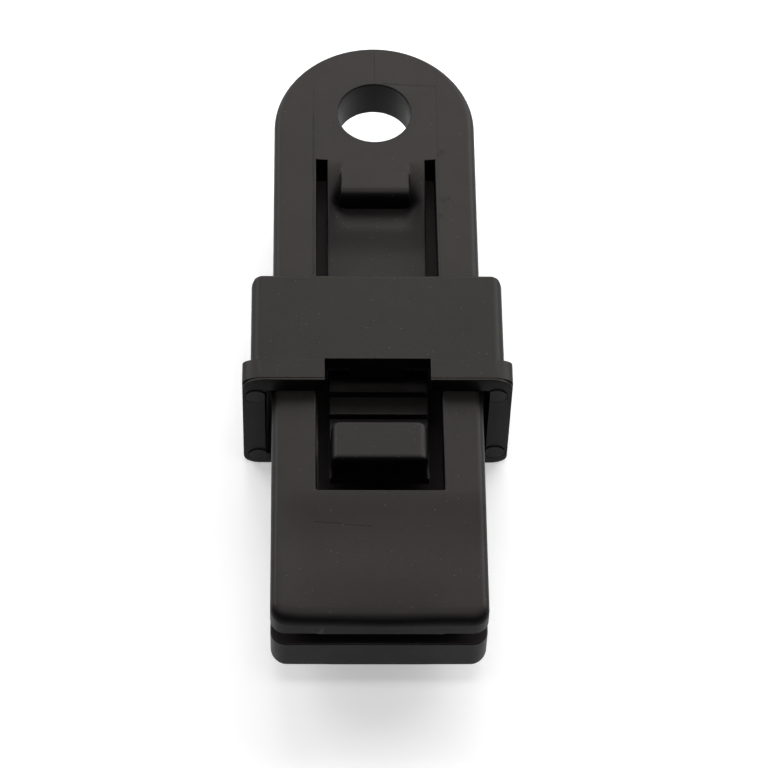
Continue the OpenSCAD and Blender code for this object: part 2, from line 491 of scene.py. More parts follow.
def place_rows(piece, upper, lower):
    """Lays the chosen points at Y and Z: those of the upper row by upper(x), the rest by lower(x)."""
    mesh = bmesh.from_edit_mesh(piece.data)
    corners = [v for v in mesh.verts if v.select]
    level = min(v.co.z for v in corners) + UPRIGHT_L * MM
    for v in corners:
        y, z = (upper if v.co.z > level else lower)(abs(v.co.x) / MM)
        v.co.y, v.co.z = y * MM, z * MM
    bmesh.update_edit_mesh(piece.data)


def faces_front(face, y):
    """Whether a face lies at Y and looks toward the jaw tips."""
    return face.normal.y < -FACING and near(middle(face).y, y)


def run_to(piece, upper, lower):
    """Extrudes the chosen face and lays its upper and lower row at two places, each given as Y and Z."""
    bpy.ops.mesh.extrude_region_move()
    place_rows(piece, lambda x: upper, lambda x: lower)


def round_across(piece, place, width, segments):
    """Rounds the edge that runs across the piece at a place given as Y and Z."""
    pick(piece, "EDGE", lambda e: along_x(e) and near(middle(e).y, place[0]) and near(middle(e).z, place[1]))
    bevel_picked(width, segments)


def edge_drop(x):
    """How far the tongue's rounded side edge has fallen at a distance x from the middle."""
    inward = min(max(x - (TONGUE_HALF - RIM_R), 0), RIM_R)
    return RIM_R - math.sqrt(RIM_R ** 2 - inward ** 2)


def edge_columns():
    """Distances from the middle at which the tongue is divided for its rounded side edges."""
    return [TONGUE_HALF - RIM_R * (1 - math.sin(math.radians(a))) for a in RIM_ANGLES]


def root_drop(run):
    """Fall of the tongue's sides below the bridge: slow at first, steepest at the block, then level."""
    drop = 0
    for (start, slope), (end, next_slope) in zip(ROOT_SLOPES, ROOT_SLOPES[1:]):
        share = part_way(run, start, end)
        drop += (slope + (next_slope - slope) * share / 2) * share * (end - start)
    return min(drop, TOP - FACE)


def dish_share(x):
    """1 in the middle of the dish in front of the stop block, 0 at the tongue's sides."""
    return smoothed(part_way(x, DISH_EDGE, DISH_HALF))


def root_height(x, y):
    """Top of the tongue near its root, with the dish round the stop block that the pawl passes down."""
    run, block_run = SLOT_Y - y, SLOT_Y - STOP_Y
    sides = root_drop(run)
    if run < block_run:
        dish = (DISH_DROP - root_drop(block_run)) * (run / block_run) ** 2
    else:
        rise = (DISH_DROP - DISH_FLAT_DROP) * min((run - block_run) / DISH_RISE_L, 1)
        dish = max(DISH_DROP - rise - sides, 0)
    return TOP - sides - dish * dish_share(x)


def block_height(x, y):
    """Top of the stop block, with its rounded front edge and fine side chamfers; below all else beyond it."""
    if y < STOP_Y - HAIR or x > STOP_HALF_FOOT - HAIR:
        return -math.inf
    depth = min(max(STOP_Y + STOP_R - y, 0), STOP_R)
    top = TOP - STOP_R + math.sqrt(STOP_R ** 2 - depth ** 2)
    return top - (STOP_CHAMFER if x > STOP_HALF_TOP + HAIR else 0)


def root_top(x, y):
    return max(root_height(x, y), block_height(x, y))


def root_under(y):
    """Underside of the tongue near its root."""
    share = min((SLOT_Y - y) / (SLOT_Y - STOP_Y), 1)
    return ROOT_UNDER + (FACE - TONGUE_T - ROOT_UNDER) * share


def widened(x, half):
    """Distance of a point from the middle once the tongue's half width is half: only its outer parts move."""
    if x < STOP_HALF_FOOT:
        return x
    share = (x - STOP_HALF_FOOT) / (TONGUE_HALF - STOP_HALF_FOOT)
    return STOP_HALF_FOOT + share * (half - STOP_HALF_FOOT)


def grow_root(piece):
    """Extrudes the tongue's root with the rear stop block on it out of the bridge."""
    pick(piece, "FACE", lambda f: faces_front(f, SLOT_Y) and abs(middle(f).x) < TONGUE_HALF
         and middle(f).z > ROOT_UNDER)
    back_l = SLOT_Y - STOP_Y - STOP_R
    quarter = math.radians(90)
    stations = [SLOT_Y - back_l * i / STOP_BACK_STEPS for i in range(1, STOP_BACK_STEPS + 1)]
    turns = [quarter * i / ROUND_STEPS for i in range(1, ROUND_STEPS + 1)]
    stations += [STOP_Y + STOP_R * (1 - math.sin(turn)) for turn in turns]
    stations += [STOP_Y - ahead for ahead in (STOP_DRAFT, *ROOT_STATIONS, SEAM_L)]
    for y in stations:
        bpy.ops.mesh.extrude_region_move()
        place_rows(piece, lambda x: (y, root_top(x, y) - edge_drop(x)),
                   lambda x: (y, root_under(y) + edge_drop(x)))


def widen_root(piece):
    """Moves the right side of the tongue's root out to its own width."""
    deselect()
    for v in piece.data.vertices:
        place = v.co / MM
        in_root = place.z > BASE + WEB_T + CLOSE and place.y < SLOT_Y + WIDEN_BEHIND
        if in_root and STOP_HALF_FOOT < place.x < TONGUE_HALF + TOUCH:
            v.co.x = widened(place.x, TONGUE_SIDES[1][0]) * MM


def grow_jaw(piece):
    """Extrudes the two rails out of the bridge and bridges their front ends into the jaw plate."""
    pick(piece, "FACE", lambda f: faces_front(f, SLOT_Y) and abs(middle(f).x) > WINDOW_HALF
         and middle(f).z > JAW_UNDER)
    push((0, WINDOW_Y - SLOT_Y, 0))
    push((0, TIP_Y - WINDOW_Y, 0))
    pick(piece, "FACE", lambda f: abs(f.normal.x) > FACING and near(abs(middle(f).x), WINDOW_HALF)
         and middle(f).y < WINDOW_Y)
    bpy.ops.mesh.bridge_edge_loops()
    for side, flare in WINDOW_FLARE.items():
        corner = Vector((side * WINDOW_HALF, WINDOW_Y))
        pick(piece, "VERT", lambda v: near(v.co.x / MM, corner.x) and near(v.co.y / MM, corner.y))
        bpy.ops.transform.translate(value=(side * flare * MM, 0, 0))
    pick(piece, "VERT", lambda v: WINDOW_HALF - TOUCH < v.co.x / MM < HALF_W - EDGE_R
         and v.co.z / MM > JAW_UNDER - TOUCH and v.co.y / MM < SLOT_Y + HAIR)
    bpy.ops.transform.translate(value=(WINDOW_REAR_SHIFT * MM, 0, 0))


def grow_arm(piece):
    """Extrudes the lower jaw out of the bridge's foot, down to the belly and up again to the grip."""
    pick(piece, "FACE", lambda f: faces_front(f, SLOT_Y) and middle(f).z < BASE + WEB_T)
    inner = [arm_place(BELLY_U, WEB_T / 2 / math.cos(ARM_SLOPE) - BELLY_U * math.tan(ARM_SLOPE)),
             arm_place(JAW_L - GRIP_L, GRIP_V), arm_place(JAW_L, GRIP_V)]
    outer = [arm_place(BELLY_U, -WEB_T / 2 / math.cos(RAMP_SLOPE) - BELLY_U * math.tan(RAMP_SLOPE)),
             arm_place(JAW_L - CHIN_L, GRIP_V - CHIN_T), arm_place(JAW_L, GRIP_V - TIP_T)]
    fall = (BASE + WEB_T - inner[0][1]) / (SLOT_Y - inner[0][0])
    run_to(piece, (SLOT_Y - KINK_L, BASE + WEB_T - KINK_L * fall), (SLOT_Y - KINK_L, BASE))
    for upper, lower in zip(inner, outer):
        run_to(piece, upper, lower)
    bends = ((outer[0], BELLY_BEND, BELLY_STEPS), (inner[0], RAMP_BEND, BELLY_STEPS),
             (outer[1], CHIN_BEND, CHIN_STEPS), (inner[1], GRIP_BEND, CHIN_STEPS),
             ((SLOT_Y - KINK_L, BASE), KINK_BEND, CHIN_STEPS))
    for place, width, segments in bends:
        round_across(piece, place, width, segments)


def moulding_weight(edge):
    """Share of the tip rounding that an edge of the moulding gets."""
    if len(edge.link_faces) < 2 or edge.calc_face_angle() < SHARP_ANGLE:
        return 0
    ends = [v.co / MM for v in edge.verts]
    place = middle(edge)
    upright = abs(ends[0].z - ends[1].z) > UPRIGHT_L
    outside = abs(place.x) - HALF_W
    if place.y > ARC_Y:
        outside = max(outside, math.hypot(place.x, place.y - ARC_Y) - HALF_W)
    at_side = outside > -CLOSE
    tip_end = arm_place(JAW_L, 0)[0]
    at_tip = place.y < tip_end + CORNER_R
    if upright and not edge.is_convex and near(place.y, WINDOW_Y):
        return WINDOW_CORNER_R / TIP_R
    in_root = (place.y < SLOT_Y - HAIR and abs(place.x) < TONGUE_HALF - ROOT_SIDE
               and BASE + WEB_T < place.z < TOP - ROOT_LOW)
    if upright or in_root or near(place.y, TONGUE_SEAM_Y) or not edge.is_convex:
        return 0
    if all(near(end.z, TOP) for end in ends) and (at_side or at_tip):
        share = part_way(place.y, TIP_Y + CORNER_R, TIP_Y)
        back = part_way(place.y, ARC_Y, ARC_Y + HALF_W)
        return (EDGE_R + (TIP_R - EDGE_R) * share + (REAR_EDGE_R - EDGE_R) * back ** 2) / TIP_R
    beneath = min(face.normal.z for face in edge.link_faces) < -UNDER_FACING and place.z < BASE + BASE_REACH
    if beneath and (at_side or at_tip):
        rear = part_way(place.y, SLOT_Y, ARC_Y)
        front = part_way(place.y, tip_end + CORNER_R, tip_end)
        return (BELLY_R + (FOOT_R - BELLY_R) * rear + (CHIN_R - BELLY_R) * front) / TIP_R
    return RIM_R / TIP_R


def slice_end(piece, place, normal, test):
    """Divides the bridge's end face, in the columns whose distance from the middle passes the test."""
    pick(piece, "FACE", lambda f: faces_front(f, SLOT_Y) and test(abs(middle(f).x)))
    slice_picked(place, normal)


def blank_moulding():
    """Eye, bridge, upper jaw, lower jaw and the tongue's root in one mesh, with all their roundings."""
    piece = drum("upper_moulding", (0, ARC_Y), HALF_W, BASE, TOP, EYE_SIDES)
    pick(piece, "FACE", lambda face: True)
    bpy.ops.mesh.bisect(plane_co=(0, ARC_Y * MM, 0), plane_no=(0, 1, 0), use_fill=True, clear_inner=True)
    pick(piece, "FACE", lambda f: faces_front(f, ARC_Y))
    push((0, SLOT_Y - ARC_Y, 0))
    for half in (WINDOW_HALF, TONGUE_HALF, *edge_columns(), *DISH_COLUMNS, STOP_HALF_FOOT,
                 STOP_HALF_TOP + STOP_CHAMFER, STOP_HALF_TOP):
        for side in (-half, half):
            slice_end(piece, (side, 0, 0), (1, 0, 0), lambda x: True)
    slice_end(piece, (0, 0, BASE + WEB_T), (0, 0, 1), lambda x: True)
    slice_end(piece, (0, 0, JAW_UNDER), (0, 0, 1), lambda x: x > WINDOW_HALF)
    slice_end(piece, (0, 0, ROOT_UNDER), (0, 0, 1), lambda x: x < TONGUE_HALF)
    grow_jaw(piece)
    grow_root(piece)
    grow_arm(piece)
    tip_end = arm_place(JAW_L, 0)[0]
    pick(piece, "EDGE", lambda e: near(abs(middle(e).x), HALF_W) and middle(e).y < tip_end + UPRIGHT_L
         and abs((e.verts[0].co - e.verts[1].co).z) > WEB_T * MM)
    bevel_picked(CORNER_R, ROUND_STEPS)
    round_weighted(piece, TIP_R, ROUND_STEPS, moulding_weight)
    return piece


def jaw_drop(x, y):
    """How far the jaw's top lies below the rails: a slope ahead of the window and a crown at the tip."""
    ahead = max(STEP_Y - y, 0)
    eased = min(ahead, STEP_EASE_L) ** 2 / (2 * STEP_EASE_L) + max(ahead - STEP_EASE_L, 0)
    run = min(eased / STEP_L, 1)
    across = smoothed(part_way(x, -HALF_W, STEP_FADE - HALF_W))
    crown = part_way(y, CROWN_Y, TIP_Y)
    sunk = SINK_H * math.exp(-((x - SINK_X) / SINK_HALF) ** 2)
    return STEP_H * run * (2 - run) * across + (CROWN_H + sunk) * crown ** 2


def relieve_jaw(piece):
    """Divides the jaw plate finely and lowers its top."""
    level = JAW_UNDER + CLOSE
    for i in range(1, JAW_ROWS + 1):
        y = WINDOW_Y - JAW_ROWS_L * i / JAW_ROWS
        pick(piece, "FACE", lambda f: middle(f).z > level
             and min(v.co.y for v in f.verts) / MM < WINDOW_Y - HAIR)
        slice_picked((0, y, 0), (0, 1, 0))
    for x in JAW_COLUMNS:
        pick(piece, "FACE", lambda f: middle(f).z > level
             and max(v.co.y for v in f.verts) / MM < WINDOW_Y + HAIR)
        slice_picked((x, 0, 0), (1, 0, 0))
    pick(piece, "VERT", lambda v: v.co.y / MM < WINDOW_Y + HAIR and v.co.z / MM > JAW_UNDER + UPRIGHT_L)
    mesh = bmesh.from_edit_mesh(piece.data)
    for v in mesh.verts:
        if v.select:
            share = (v.co.z / MM - JAW_UNDER) / JAW_T
            v.co.z -= jaw_drop(v.co.x / MM, v.co.y / MM) * share * MM
    bmesh.update_edit_mesh(piece.data)
    deselect()


def cut_bore(piece):
    bore = drum("bore", (0, 0), BORE_R, BASE - OVERRUN, TOP + OVERRUN, BORE_SIDES)
    combine(piece, bore, "DIFFERENCE")
    for level in (TOP, BASE):
        pick(piece, "EDGE", lambda e: near(middle(e).z, level) and near(math.hypot(*middle(e).xy), BORE_R))
        bevel_picked(RIM_R, RIM_STEPS)


def part_arm(piece):
    """Splits the lower jaw off at the bend, closes both ends and returns the jaw."""
    roof = BASE + WEB_T + SPLIT_CLEAR
    pick(piece, "FACE", lambda f: middle(f).y < SLOT_Y - FINAL_MERGE_L
         and middle(f).z < roof - SPLIT_SLOPE * min(SLOT_Y - middle(f).y, SPLIT_L))
    bpy.ops.mesh.separate(type="SELECTED")
    deselect()
    arm = next(o for o in bpy.data.objects if o.name.startswith(piece.name) and o != piece)
    arm.name = "lower_arm"
    for part in (piece, arm):
        pick(part, "EDGE", lambda e: len(e.link_faces) == 1)
        bpy.ops.mesh.edge_face_add()
        deselect()
    return arm


def taper_tongue(piece):
    """Sets the tongue's two sides to the widths that it has at its root and at its free end."""
    deselect()
    for v in piece.data.vertices:
        place = v.co / MM
        along = part_way(place.y, TAPER_Y, BUTTON_Y)
        rear, tip = TONGUE_SIDES[1 if place.x > 0 else -1]
        wide = rear + (tip - rear) * along
        v.co.x = math.copysign(widened(min(abs(place.x), TONGUE_HALF), wide), place.x) * MM


def rod(name, place, half_w, half_h, lean=0):
    """Ridge or groove across the jaws: a square rod on its edge, sunk by half at a place in Y and Z."""
    deselect()
    side = half_h * math.sqrt(2)
    size = Vector((2 * half_w, side, side)) * MM
    bpy.ops.mesh.primitive_cube_add(size=1, location=Vector((0, *place)) * MM, scale=size,
                                    rotation=(math.radians(45) + lean, 0, 0))
    piece = bpy.context.object
    piece.name = name
    return settle(piece)


def add_grip(arm, jaw):
    """Three ridges inside the lower jaw's tip, and the grooves in the upper jaw that take them."""
    for i in range(GRIP_COUNT):
        u = JAW_L - GRIP_FIRST_L - i * GRIP_PITCH
        combine(arm, rod("ridge", arm_place(u, GRIP_V), GRIP_HALF, GRIP_H, REST_OPEN), "UNION")
        groove = rod("groove", (SLOT_Y - u, JAW_UNDER), GRIP_HALF + GRIP_GAP, GRIP_H + GRIP_GAP)
        combine(jaw, groove, "DIFFERENCE")


def ease_bend(piece, start, steps):
    """Divides a piece across its bend, so that it curves there."""
    for i in range(steps):
        pick(piece, "FACE", lambda f: True)
        slice_picked((0, start - BEND_L * (i + 0.5) / steps, 0), (0, 1, 0))
    deselect()


def hairline(piece, start, end, width=LINE_W, height=LINE_H):
    """Fine raised line that the edge of a mould insert leaves on the face, from start to end."""
    start, end = Vector(start), Vector(end)
    line = cuboid("line", (-width / 2, 0, -LINE_SUNK), (width / 2, (end - start).length, height))
    pick(line, "FACE", lambda f: f.normal.z > FACING)
    bpy.ops.transform.resize(value=(LINE_TOP_SHARE, 1, 1), center_override=(0, 0, 0))
    deselect()
    turn = (end - start).to_track_quat("Y", "Z").to_matrix().to_4x4()
    line.data.transform(Matrix.Translation(start * MM) @ turn)
    combine(piece, line, "UNION")


def draw_mould_lines(piece):
    """Edges of the mould insert round the tongue, on the rim behind the eye and on the jaw's top."""
    weld_y = INSERT_Y - WELD_BEHIND
    rim_y = (BORE_R + RIM_LINE_GAPS[0], ARC_Y + HALF_W - RIM_LINE_GAPS[1])
    hairline(piece, (INSERT_LEFT_X, weld_y, TOP), (INSERT_LEFT_X, INSERT_FRONT_Y, TOP), WELD_W, WELD_H)
    hairline(piece, (INSERT_LEFT_X, INSERT_Y, TOP), (INSERT_LEFT_X, weld_y, TOP))
    hairline(piece, (INSERT_RIGHT_X, INSERT_Y, TOP), (INSERT_RIGHT_X, INSERT_FRONT_Y, TOP))
    hairline(piece, (INSERT_BACK_X, INSERT_Y, TOP), (INSERT_RIGHT_X, INSERT_Y - INSERT_BACK_LEAN, TOP))
    hairline(piece, (RIM_LINE_X, rim_y[0], TOP), (RIM_LINE_X, rim_y[1], TOP))
    on_jaw = [CROSS_LINE]
    on_jaw += [[(x, WINDOW_Y - ahead) for ahead in JAW_LINE_ENDS] for x in JAW_LINES_X]
    for ends in on_jaw:
        hairline(piece, *[(x, y, TOP - jaw_drop(x, y)) for x, y in ends])


def tooth_stations():
    """Y and top of the tongue at each change of slope, from the rearmost tooth to the free end."""
    stations = []
    for i in reversed(range(TOOTH_COUNT)):
        crest = TOOTH_Y + i * TOOTH_PITCH
        stations += [(crest + TOOTH_PITCH - TOOTH_DRAFT - TOOTH_GAP, FACE), (crest + CREST_L, FACE + TOOTH_H),
                     (crest + CREST_FLAT_L, FACE + TOOTH_H), (crest, FACE + TOOTH_H - CREST_FALL),
                     (crest - TOOTH_DRAFT, FACE)]
    return stations + [(BUTTON_Y + CREST_FLAT_L, FACE)]


def button_weight(edge):
    """Share of the side rounding that an edge of the release button gets."""
    place = middle(edge)
    at_side = abs(place.x) > BUTTON_HALF / 2
    if near(place.z, BUTTON_TOP):
        if at_side:
            return 1
        return (BUTTON_FRONT_R if near(place.y, BUTTON_Y) else BUTTON_BACK_R) / BUTTON_SIDE_R
    if at_side and place.z > FACE:
        return (BUTTON_FRONT_R if place.y < BUTTON_Y + BUTTON_L / 2 else BUTTON_CORNER_R) / BUTTON_SIDE_R
    return 0


def build_button():
    """Release button, wider at its foot."""
    button = cuboid("button", (-BUTTON_HALF, BUTTON_Y, FACE - RIM_R - BUTTON_SUNK),
                    (BUTTON_HALF, BUTTON_Y + BUTTON_L, BUTTON_TOP))
    pick(button, "FACE", lambda f: f.normal.z < -FACING)
    widening = (BUTTON_FOOT_HALF / BUTTON_HALF, 1, 1)
    bpy.ops.transform.resize(value=widening, center_override=(0, BUTTON_Y * MM, 0))
    round_weighted(button, BUTTON_SIDE_R, ROUND_STEPS, button_weight)
    return button


def build_tongue():
    """Toothed strip from the root to its free end, with the release button on it."""
    under = FACE - TONGUE_T
    first_y = TONGUE_SEAM_Y - SEAM_STRIP_L
    piece = cuboid("toothed_tongue", (-TONGUE_HALF, first_y, under), (TONGUE_HALF, TONGUE_SEAM_Y, FACE))
    for half in (*edge_columns(), *DISH_COLUMNS, STOP_HALF_FOOT):
        for side in (-half, half):
            pick(piece, "FACE", lambda f: True)
            slice_picked((side, 0, 0), (1, 0, 0))

    def lay(y, top):
        place_rows(piece, lambda x: (y, top(x) - edge_drop(x)), lambda x: (y, under + edge_drop(x)))

    for y in (TONGUE_SEAM_Y, first_y):
        pick(piece, "VERT", lambda v: near(v.co.y / MM, y))
        lay(y, lambda x: root_top(x, y))
    pick(piece, "FACE", lambda f: f.normal.y < -FACING)
    level_y = SLOT_Y - ROOT_SLOPES[-1][0]
    for i in range(1, TONGUE_STEPS + 1):
        y = first_y + (level_y - first_y) * i / TONGUE_STEPS
        bpy.ops.mesh.extrude_region_move()
        lay(y, lambda x: root_top(x, y))
    for y, height in tooth_stations():
        bpy.ops.mesh.extrude_region_move()
        lay(y, lambda x: height)
    combine(piece, build_button(), "UNION")
    taper_tongue(piece)
    return piece


def rounded_prism(name, low, high, long_r, end_r=(0, 0), corner_r=(0, 0)):
    """Box along Y with rounded long edges; end_r and corner_r round the edges and corners of its two ends."""
    piece = cuboid(name, low, high)
    widest = max(long_r, *end_r, *corner_r)

    def weight(edge):
        ends = [v.co / MM for v in edge.verts]
        if not near(ends[0].y, ends[1].y):
            return long_r / widest
        end = 0 if near(ends[0].y, low[1]) else 1
        return (end_r if near(ends[0].z, ends[1].z) else corner_r)[end] / widest

    round_weighted(piece, widest, ROUND_STEPS, weight)
    return piece


def disc(name, centre, radius, low, high, lean=0):
    """Disc whose axis runs along Y, leaning forward by some degrees."""
    deselect()
    place = Vector((centre[0], (low + high) / 2, centre[1])) * MM
    bpy.ops.mesh.primitive_cylinder_add(vertices=PAD_SIDES, radius=radius * MM, depth=(high - low) * MM,
                                        location=place, rotation=(math.radians(90 + lean), 0, 0))
    piece = bpy.context.object
    piece.name = name
    return settle(piece)


def add_pads(piece, front):
    """Round ejector marks on the flange's front, each in a fine ring and leaning out at its top."""
    for centre in PAD_PLACES:
        ring = disc("ring", centre, PAD_R + PAD_RING, front - PAD_SUNK, front + PAD_RING)
        combine(piece, ring, "DIFFERENCE")
        combine(piece, disc("pad", centre, PAD_R, front - PAD_H / 2, front + PAD_SUNK, PAD_LEAN), "UNION")


def build_flange(rear):
    """Flange round the sleeve's front, with a fine stepped lip on its front edge."""
    low = Vector((-COLLAR_HIGH.x, COLLAR_FRONT, COLLAR_LOW.z))
    high = Vector((COLLAR_HIGH.x, rear, COLLAR_HIGH.z))
    flange = rounded_prism("flange", low + Vector((0, LIP_L, 0)), high, FLANGE_R, FLANGE_EDGES_R)
    step = Vector((LIP_STEP, 0, LIP_STEP))
    lip_high = Vector((high.x, COLLAR_FRONT + LIP_L + LIP_OVERLAP, high.z)) - step
    lip = rounded_prism("lip", low + step, lip_high, FLANGE_R - LIP_STEP, (LIP_R, 0))
    combine(flange, lip, "UNION")
    return flange


def build_pawl(front):
    """Narrow pawl under the roof behind the notch, its underside falling toward the rear."""
    rear = front + PAWL_L
    pawl = cuboid("pawl", (-PAWL_HALF, front + TOUCH, PAWL_FRONT_Z), (PAWL_HALF, rear, ROOF + PAWL_SUNK))
    pick(pawl, "EDGE", lambda e: along_x(e) and near(middle(e).y, rear) and near(middle(e).z, PAWL_FRONT_Z))
    bpy.ops.transform.translate(value=(0, 0, (PAWL_REAR_Z - PAWL_FRONT_Z) * MM))
    return pawl


def build_collar():
    """Rectangular sleeve with its flange, the notch in the roof's front edge and the pawl behind it."""
    flange_y = COLLAR_LOW.y + FLANGE_L
    piece = rounded_prism("sleeve", (-COLLAR_HALF, flange_y - OVERRUN, COLLAR_BASE),
                          (COLLAR_HALF, COLLAR_REAR, COLLAR_TOP), COLLAR_R,
                          (0, COLLAR_REAR_EDGE_R), (0, COLLAR_CORNER_R))
    combine(piece, build_flange(flange_y), "UNION")
    add_pads(piece, COLLAR_FRONT)
    cavity = rounded_prism("cavity", (-CAVITY_HALF, COLLAR_FRONT - OVERRUN, CAVITY_FLOOR),
                           (CAVITY_HALF, COLLAR_REAR + OVERRUN, ROOF), CAVITY_R)
    combine(piece, cavity, "DIFFERENCE")
    notch_y = COLLAR_LOW.y + NOTCH_L
    notch = cuboid("notch", (-NOTCH_HALF, COLLAR_FRONT - OVERRUN, ROOF - OVERRUN),
                   (NOTCH_HALF, notch_y, COLLAR_TOP + OVERRUN))
    combine(piece, notch, "DIFFERENCE")
    combine(piece, build_pawl(notch_y), "UNION")
    piece.name = "collar_sleeve"
    return piece


# Pieces, and the bodies that they ride on
moulding = blank_moulding()
relieve_jaw(moulding)
cut_bore(moulding)
arm = part_arm(moulding)
add_grip(arm, moulding)
ease_bend(arm, SLOT_Y, BEND_STEPS)
draw_mould_lines(moulding)
widen_root(moulding)
tongue = build_tongue()
collar = build_collar()
for piece in (moulding, arm, tongue, collar):
    finish_surface(piece)
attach(moulding, "body")
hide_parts("upper_jaw")
bend_start = Vector((0, SLOT_Y, JAW_BEND.z)) * MM
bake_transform(arm, "body", "jaw", start=bend_start, end=bend_start - Vector((0, BEND_L, 0)) * MM)
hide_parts("lower_jaw")
bend_start = Vector((0, TONGUE_SEAM_Y, TONGUE_BEND.z)) * MM
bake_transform(tongue, "body", "tongue", start=bend_start, end=bend_start - Vector((0, BEND_L, 0)) * MM)
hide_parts("locking_tongue")
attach(collar, "collar")
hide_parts("locking_collar")

# Camera at the photograph's place
CAMERA_PLACE = Vector((-9.92, -322.84, 397.27)) * MM
CAMERA_AIM = Vector((0.91, -48.861, 3.3)) * MM
CAMERA_ROLL = math.radians(1.995)
CAMERA_LENS = 160.94
CAMERA_SENSOR = 36
CAMERA_NEAR = 10


def place_camera():
    deselect()
    bpy.ops.object.camera_add(location=CAMERA_PLACE)
    camera = bpy.context.object
    camera.name = "camera"
    turn = (CAMERA_AIM - CAMERA_PLACE).to_track_quat("-Z", "Y").to_matrix()
    camera.rotation_euler = (turn @ Matrix.Rotation(CAMERA_ROLL, 3, "Z")).to_euler()
    camera.data.lens = CAMERA_LENS
    camera.data.sensor_width = CAMERA_SENSOR
    camera.data.clip_start = CAMERA_NEAR * MM
    bpy.context.scene.camera = camera


place_camera()

# Looks. Colours are linear, sizes in the node groups are in millimetres.
# The second colour of each nylon is painted light: the paler colour that up-facing faces take in place of the
# light that falls on them.
BODY_NYLON = {"colour": (0.0031, 0.003, 0.0029), "painted_top_light": (0.0182, 0.0154, 0.0151), "specular": 0.11,
              "rough": (0.41, 0.45), "grain": 0.018, "speck_share": 0.22, "wear": 0.35}
# The tongue's copy is set a little darker than the body's, with a dimmer painted top light: painted shade for
# the tongue, which lies sunk between the rails.
TONGUE_NYLON = {"colour": (0.0029, 0.0029, 0.0028), "painted_top_light": (0.0163, 0.0149, 0.0142), "specular": 0.105,
                "rough": (0.41, 0.45), "grain": 0.02, "speck_share": 0.6, "wear": 0.3}
COLLAR_NYLON = {"colour": (0.0029, 0.0029, 0.0027), "painted_top_light": (0.0163, 0.0149, 0.0136), "specular": 0.104,
                "rough": (0.42, 0.455), "grain": 0.024, "speck_share": 0.4, "wear": 0.45}
SHEEN_TINT = (1, 0.96, 0.955)
DUST_COLOUR = (0.075, 0.07, 0.066)
WORN_COLOUR = (0.03, 0.028, 0.027)
SMUDGE_COLOUR = (0.004, 0.0036, 0.0034)
SMUDGE_DEPTH = 0.45
SMUDGE_ROUGH = 0.06
SPECK_ROUGH = 0.2
PIT_DEPTH = 0.6
WEAR_R = 0.18
WEAR_SAMPLES = 4
# X, Y and radius of each smudge
SMUDGES = ((9.86, -7.36, 0.75), (9.3, -8.0, 0.5), (9.8, -16.3, 0.7), (10.6, -15.9, 0.5), (9.3, -19.2, 0.6))


def new_group(name, inputs, outputs):
    """Shader node group with sockets given as name: kind. Returns it, what it is given and what it makes."""
    group = bpy.data.node_groups.new(name, "ShaderNodeTree")
    for side, sockets in (("INPUT", inputs), ("OUTPUT", outputs)):
        for title, kind in sockets.items():
            group.interface.new_socket(name=title, in_out=side, socket_type="NodeSocket" + kind)
    return group, group.nodes.new("NodeGroupInput").outputs, group.nodes.new("NodeGroupOutput").inputs


def feed(tree, socket, value):
    """Links a socket to another one, or sets it to a number, a vector or a colour."""
    if isinstance(value, bpy.types.NodeSocket):
        tree.links.new(value, socket)
    elif value is not None:
        socket.default_value = value


def arithmetic(tree, operation, first, second=None, clamp=False):
    node = tree.nodes.new("ShaderNodeMath")
    node.operation = operation
    node.use_clamp = clamp
    feed(tree, node.inputs[0], first)
    feed(tree, node.inputs[1], second)
    return node.outputs[0]


def spread(tree, value, low, high, to_low=0, to_high=1):
    """Smooth step from to_low to to_high while the value goes from low to high."""
    node = tree.nodes.new("ShaderNodeMapRange")
    node.interpolation_type = "SMOOTHSTEP"
    titles = ("Value", "From Min", "From Max", "To Min", "To Max")
    for title, setting in zip(titles, (value, low, high, to_low, to_high)):
        feed(tree, node.inputs[title], setting)
    return node.outputs["Result"]


def noise(tree, position, scale, detail, roughness):
    node = tree.nodes.new("ShaderNodeTexNoise")
    feed(tree, node.inputs["Vector"], position)
    feed(tree, node.inputs["Scale"], scale)
    node.inputs["Detail"].default_value = detail
    node.inputs["Roughness"].default_value = roughness
    return node.outputs["Fac"]


def tint(tree, factor, under, over):
    """Lays one colour over another by a factor."""
    node = tree.nodes.new("ShaderNodeMix")
    node.data_type = "RGBA"
    feed(tree, node.inputs[0], factor)
    feed(tree, node.inputs[6], (*under, 1) if isinstance(under, tuple) else under)
    feed(tree, node.inputs[7], (*over, 1) if isinstance(over, tuple) else over)
    return node.outputs[2]


def fine_grain_group():
    """Spark-eroded grain of the mould with a few shallow pits."""
    sockets = {"Position": "Vector", "Grains per mm": "Float", "Pits per mm": "Float"}
    group, given, made = new_group("fine_grain", sockets, {"Height": "Float"})
    grain = noise(group, given["Position"], given["Grains per mm"], detail=3, roughness=0.6)
    pit = group.nodes.new("ShaderNodeTexVoronoi")
    feed(group, pit.inputs["Vector"], given["Position"])
    feed(group, pit.inputs["Scale"], given["Pits per mm"])
    dip = spread(group, pit.outputs["Distance"], low=0.06, high=0.16)
    dip = arithmetic(group, "MULTIPLY", dip, PIT_DEPTH)
    feed(group, made["Height"], arithmetic(group, "ADD", grain, dip))
    return group


def cloudy_group():
    """Slow change between two values, as the flow of the plastic leaves it."""
    sockets = {"Position": "Vector", "Clouds per mm": "Float", "Low": "Float", "High": "Float"}
    group, given, made = new_group("cloudy_flow", sockets, {"Value": "Float"})
    clouds = noise(group, given["Position"], given["Clouds per mm"], detail=3, roughness=0.55)
    feed(group, made["Value"], spread(group, clouds, 0.32, 0.68, given["Low"], given["High"]))
    return group


